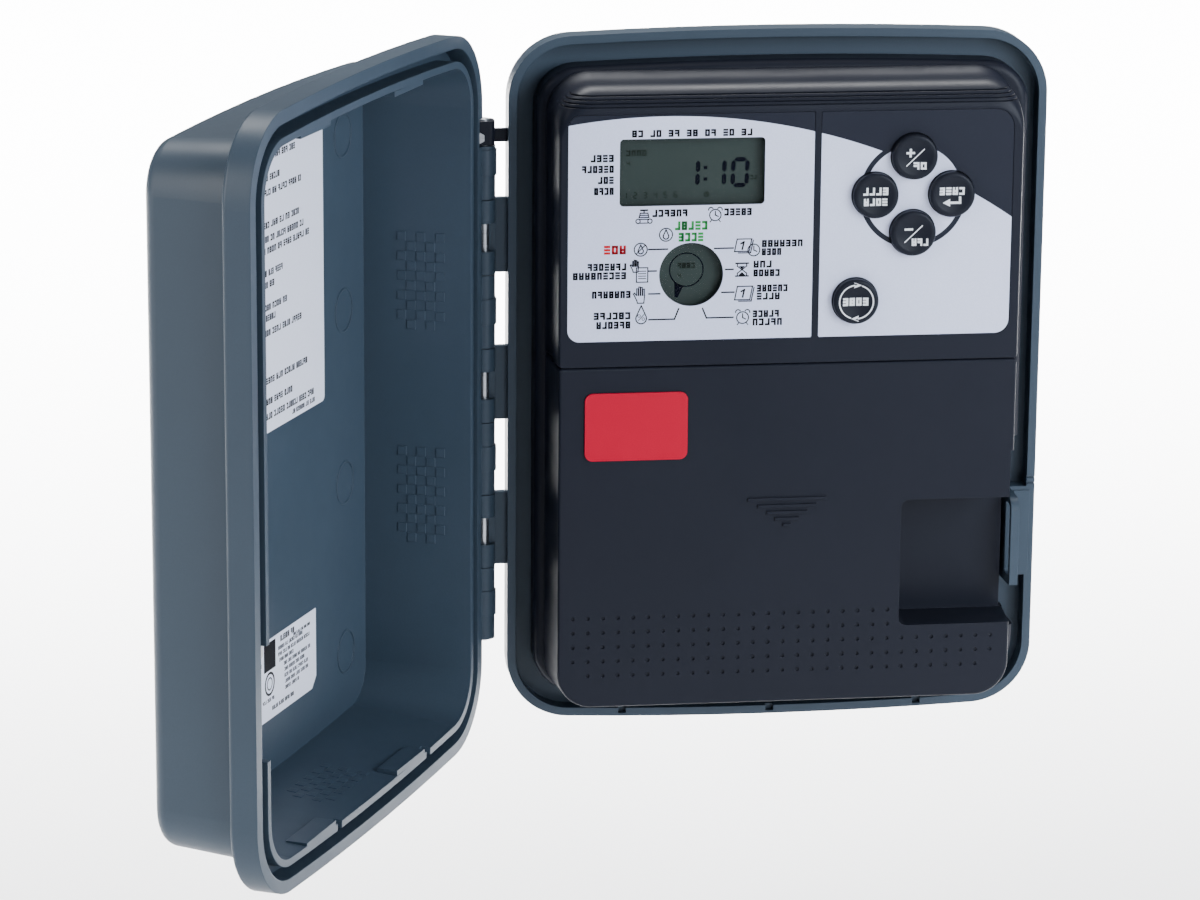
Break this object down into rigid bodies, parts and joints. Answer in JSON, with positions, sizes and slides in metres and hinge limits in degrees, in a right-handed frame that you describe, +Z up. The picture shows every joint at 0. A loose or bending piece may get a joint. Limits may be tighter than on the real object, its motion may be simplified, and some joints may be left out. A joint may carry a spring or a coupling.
{
  "type": "irrigation controller",
  "caption": "Wall-mounted outdoor irrigation timer: rounded blue-grey cabinet with side-hinged locking door and black control module with display, keys and slide-down wiring cover.",
  "frame": {"origin": "centre of the cabinet back face, on the wall plane", "axes": "+Y into the wall, front towards -Y, +X to the right seen from the front, +Z up"},
  "size_m": [0.3423, 0.2506, 0.2762],
  "materials": {
    "cabinet": "satin moulded weatherproof plastic",
    "module_black": "fine textured black plastic",
    "button_black": "smooth black keycaps",
    "decal_silver": "printed silver overlay",
    "badge_red": "plain printed badge",
    "label_white": "printed label stock",
    "clear_lens": "clear acrylic window",
    "lcd_glass": "reflective LCD glass",
    "fuse_glass": "glass tube",
    "rubber_mat": "silicone mat",
    "board_green": "solder mask",
    "component_black": "moulded components",
    "terminal_green": "terminal housing",
    "core_steel": "varnished laminations",
    "coil_tape": "taped winding",
    "steel": "zinc plated",
    "lock_zinc": "plated zinc",
    "brass": "plain"
  },
  "bodies": {
    "cabinet": {"cabinet_base": "cabinet", "hinge_pin": "steel", "pin_retainer": "module_black", "retainer_bolt": "steel", "module_housing": "module_black", "module_fascia": "module_black", "display_plate": "decal_silver", "keypad_plate": "decal_silver", "lcd_lens": "clear_lens", "lcd_panel": "lcd_glass", "dial_lens": "clear_lens", "dial_display": "lcd_glass", "keypad_mat": "rubber_mat", "circuit_board": "board_green", "board_components": "component_black", "board_screws": "steel", "fascia_screws": "steel", "terminal_block": "terminal_green", "terminal_screws": "steel", "battery_holder": "module_black", "backup_cell": "steel", "fuse": "fuse_glass", "fuse_clips": "brass", "transformer_core": "core_steel", "transformer_coil": "coil_tape", "transformer_brackets": "steel", "transformer_screws": "steel", "mains_terminal": "component_black", "module_screws": "steel", "conduit_plug": "cabinet", "ground_screw": "brass"},
    "door": {"door_shell": "cabinet", "instruction_label": "label_white", "data_label": "label_white", "lock_body": "lock_zinc", "lock_nut": "steel"},
    "lock_rotor": {"lock_plug": "lock_zinc", "lock_cam": "steel", "cam_screw": "steel"},
    "cover": {"lower_cover": "module_black", "cover_badge": "badge_red"},
    "plus_key": {"button_plus": "button_black"},
    "program_key": {"button_program": "button_black"},
    "next_key": {"button_next": "button_black"},
    "minus_key": {"button_minus": "button_black"},
    "dial_key": {"button_dial": "button_black"}
  },
  "joints": [
    {"name": "door_hinge", "type": "hinge", "parent": "cabinet", "child": "door", "pos_m": [-0.1104, -0.0568, 0], "axis": [0, 0, 1], "range_deg": [-43, 117]},
    {"name": "lock_turn", "type": "hinge", "parent": "door", "child": "lock_rotor", "pos_m": [-0.22192, -0.20694, -0.0533], "axis": [0.891, -0.454, 0], "range_deg": [-90, 0]},
    {"name": "cover_slide", "type": "slide", "parent": "cabinet", "child": "cover", "axis": [0, 0, -1], "range_m": [0, 0.002]},
    {"name": "plus_press", "type": "slide", "parent": "cabinet", "child": "plus_key", "axis": [0, 1, 0], "range_m": [0, 0.001], "stiffness_N_per_m": 600},
    {"name": "program_press", "type": "slide", "parent": "cabinet", "child": "program_key", "axis": [0, 1, 0], "range_m": [0, 0.001], "stiffness_N_per_m": 600},
    {"name": "next_press", "type": "slide", "parent": "cabinet", "child": "next_key", "axis": [0, 1, 0], "range_m": [0, 0.001], "stiffness_N_per_m": 600},
    {"name": "minus_press", "type": "slide", "parent": "cabinet", "child": "minus_key", "axis": [0, 1, 0], "range_m": [0, 0.001], "stiffness_N_per_m": 600},
    {"name": "dial_press", "type": "slide", "parent": "cabinet", "child": "dial_key", "axis": [0, 1, 0], "range_m": [0, 0.001], "stiffness_N_per_m": 600}
  ]
}
